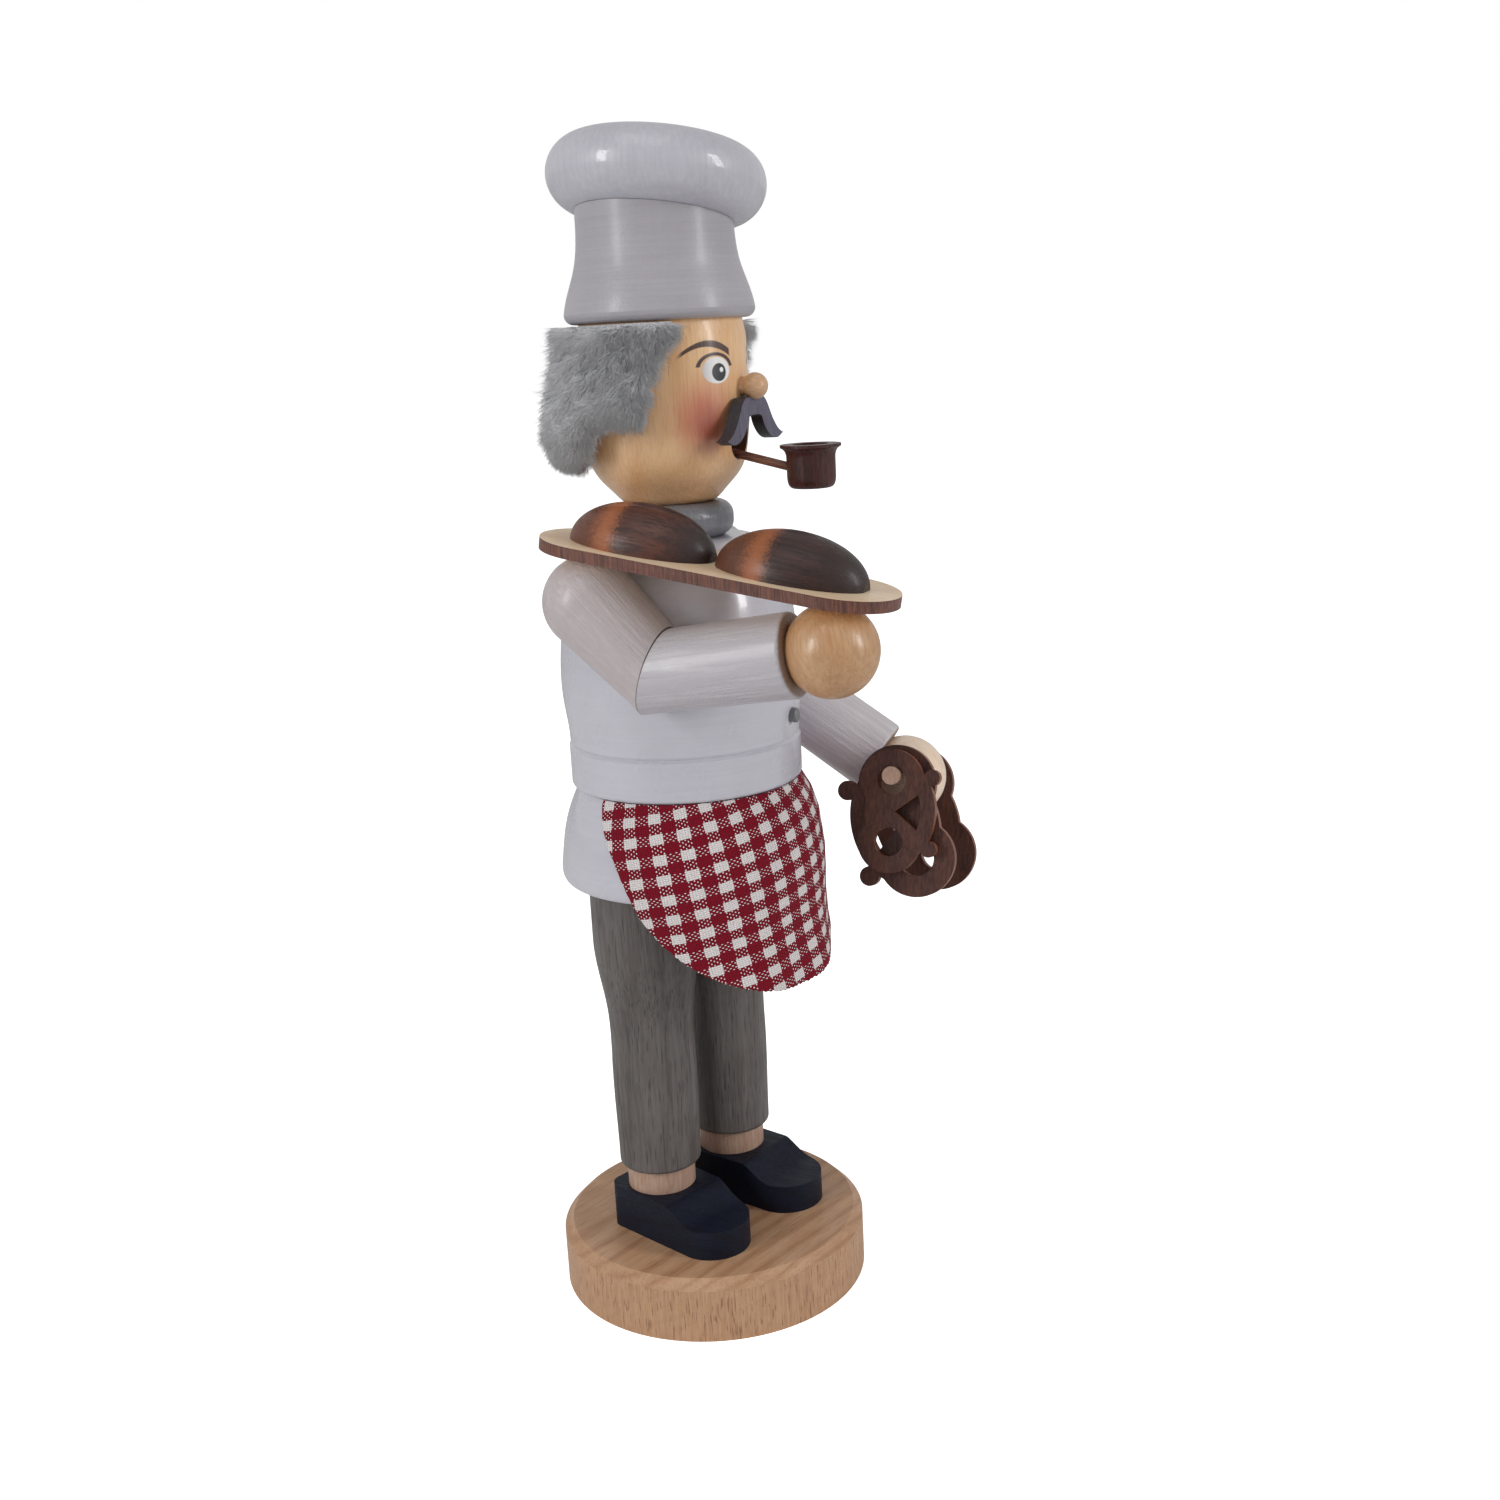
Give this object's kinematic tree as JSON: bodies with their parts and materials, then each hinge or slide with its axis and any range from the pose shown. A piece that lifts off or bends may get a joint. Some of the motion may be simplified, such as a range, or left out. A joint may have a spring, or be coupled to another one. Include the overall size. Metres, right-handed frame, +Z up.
{
  "type": "incense smoker figure",
  "caption": "Turned wooden smoking man dressed as a baker: lift-off hollow upper half over an incense plate, pipe, bread board on the right arm, pretzels on a peg in the left hand.",
  "frame": {"origin": "centre of the base disc's underside, where the figure stands", "axes": "+Z up along the turning axis; the face looks along -Y; the figure's right hand is on -X; the lower half is turned 18 degrees to its right at rest"},
  "size_m": [0.0732, 0.0792, 0.2142],
  "materials": {
    "plain_beech": "clear satin lacquer over beech with flecks",
    "shoe_stain": "blue-black stain, satin",
    "dowel_wood": "bare dowel, satin",
    "trouser_stain": "grey-brown stain with the grain showing, satin",
    "white_lacquer": "white lacquer, glossy",
    "checked_cotton": "woven red and white check",
    "nail_brass": "dull",
    "plate_brass": "pressed sheet with burn marks",
    "button_grey": "grey paint",
    "scarf_grey": "grey lacquer",
    "skin_varnish": "clear varnish over light wood, painted eyes and rouge",
    "hair_fur": "grey-white fur strip",
    "moustache_black": "black edges, grey front",
    "pipe_stain": "dark red-brown stain, satin",
    "board_wood": "light wood with a scorched edge",
    "crust_stain": "burnt brown lacquer with a lighter slash",
    "pretzel_stain": "dark brown stain with lighter edges"
  },
  "bodies": {
    "lower_body": {"base": "plain_beech", "shoe_right": "shoe_stain", "shoe_left": "shoe_stain", "ankle_right": "dowel_wood", "ankle_left": "dowel_wood", "leg_right": "trouser_stain", "leg_left": "trouser_stain", "jacket_skirt": "white_lacquer", "apron": "checked_cotton", "plate_nail": "nail_brass"},
    "plate": {"incense_plate": "plate_brass"},
    "upper_body": {"torso": "white_lacquer", "button_1": "button_grey", "button_2": "button_grey", "button_3": "button_grey", "scarf": "scarf_grey", "head": "skin_varnish", "hair": "hair_fur", "nose": "skin_varnish", "moustache": "moustache_black", "hat_band": "white_lacquer", "hat_crown": "white_lacquer", "pipe_stem": "pipe_stain", "pipe_bowl": "pipe_stain", "upper_arm_right": "white_lacquer", "forearm_right": "white_lacquer", "hand_right": "skin_varnish", "upper_arm_left": "white_lacquer", "forearm_left": "white_lacquer", "hand_left": "skin_varnish", "bread_board": "board_wood", "loaf_1": "crust_stain", "loaf_2": "crust_stain", "pretzel_peg": "dowel_wood"},
    "front_pretzel": {"pretzel_1": "pretzel_stain"},
    "second_pretzel": {"pretzel_2": "pretzel_stain"},
    "third_pretzel": {"pretzel_3": "pretzel_stain"}
  },
  "joints": [
    {"name": "plate_turn", "type": "hinge", "parent": "lower_body", "child": "plate", "pos_m": [0, 0, 0.1041], "axis": [0, 0, 1], "continuous": true},
    {"name": "upper_lift", "type": "slide", "parent": "plate", "child": "upper_body", "axis": [0, 0, 1], "range_m": [0, 0.045]},
    {"name": "front_pretzel_swing", "type": "hinge", "parent": "upper_body", "child": "front_pretzel", "pos_m": [0.028, -0.0333, 0.0945], "axis": [-0.9596, -0.1178, 0.2554], "range_deg": [-12, 60]},
    {"name": "second_pretzel_swing", "type": "hinge", "parent": "upper_body", "child": "second_pretzel", "pos_m": [0.028, -0.0333, 0.0945], "axis": [-0.9596, -0.1178, 0.2554], "range_deg": [-8, 60]},
    {"name": "third_pretzel_swing", "type": "hinge", "parent": "upper_body", "child": "third_pretzel", "pos_m": [0.028, -0.0333, 0.0945], "axis": [-0.9596, -0.1178, 0.2554], "range_deg": [-60, 60]}
  ]
}
